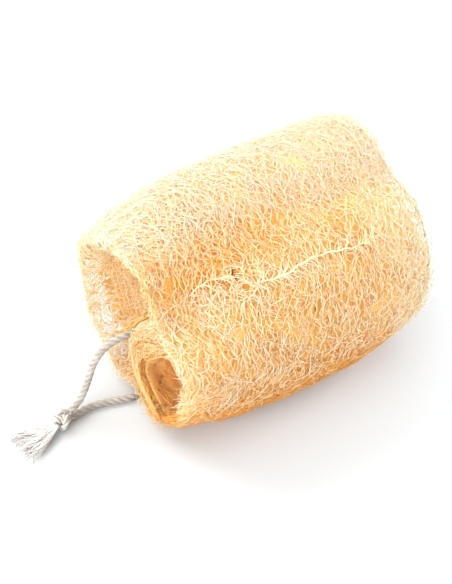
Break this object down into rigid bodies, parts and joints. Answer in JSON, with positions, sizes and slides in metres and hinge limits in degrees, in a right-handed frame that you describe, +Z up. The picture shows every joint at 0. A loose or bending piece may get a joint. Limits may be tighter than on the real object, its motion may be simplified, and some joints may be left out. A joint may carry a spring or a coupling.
{
  "type": "loofah back scrubber",
  "caption": "Short cut length of dried luffa gourd lying on its side, with a knotted cotton cord loop and frayed tails at one cut end.",
  "frame": {"origin": "middle of the gourd's base, on the surface that it lies on", "axes": "+X along the gourd from the cut end with the cord to the other cut end, +Z up, -Y towards the front side"},
  "size_m": [0.1669, 0.099, 0.0952],
  "materials": {
    "luffa_fibre": "dry matte straw-coloured fibre net",
    "luffa_inner_fibre": "dry matte fibre net, warmer inside",
    "luffa_vein": "pale matte thick fibre",
    "cotton_cord": "off-white twisted cotton"
  },
  "bodies": {
    "gourd": {"outer_wall": "luffa_fibre", "lining_upper": "luffa_inner_fibre", "lining_front": "luffa_inner_fibre", "lining_rear": "luffa_inner_fibre", "septum_front": "luffa_inner_fibre", "septum_bottom": "luffa_inner_fibre", "septum_rear": "luffa_inner_fibre", "core_column": "luffa_inner_fibre", "vein_front_main": "luffa_vein", "vein_front_short": "luffa_vein", "vein_top": "luffa_vein", "vein_rear": "luffa_vein", "vein_lower_front": "luffa_vein", "cord_inside": "cotton_cord"},
    "hanging_loop": {"cord_leg_upper": "cotton_cord", "cord_leg_lower": "cotton_cord", "knot": "cotton_cord"},
    "tassel": {"tail_yarn_1": "cotton_cord", "tail_yarn_2": "cotton_cord", "tail_yarn_3": "cotton_cord", "tail_yarn_4": "cotton_cord", "tail_yarn_5": "cotton_cord", "tail_yarn_6": "cotton_cord"}
  },
  "joints": [
    {"name": "loop_swing", "type": "hinge", "parent": "gourd", "child": "hanging_loop", "pos_m": [-0.058, 0.0012, 0.02], "axis": [0, 0, 1], "range_deg": [-30, 30]},
    {"name": "tassel_swing", "type": "hinge", "parent": "hanging_loop", "child": "tassel", "pos_m": [-0.0876, 0.0042, 0.004], "axis": [0, 0, 1], "range_deg": [-25, 25]}
  ]
}
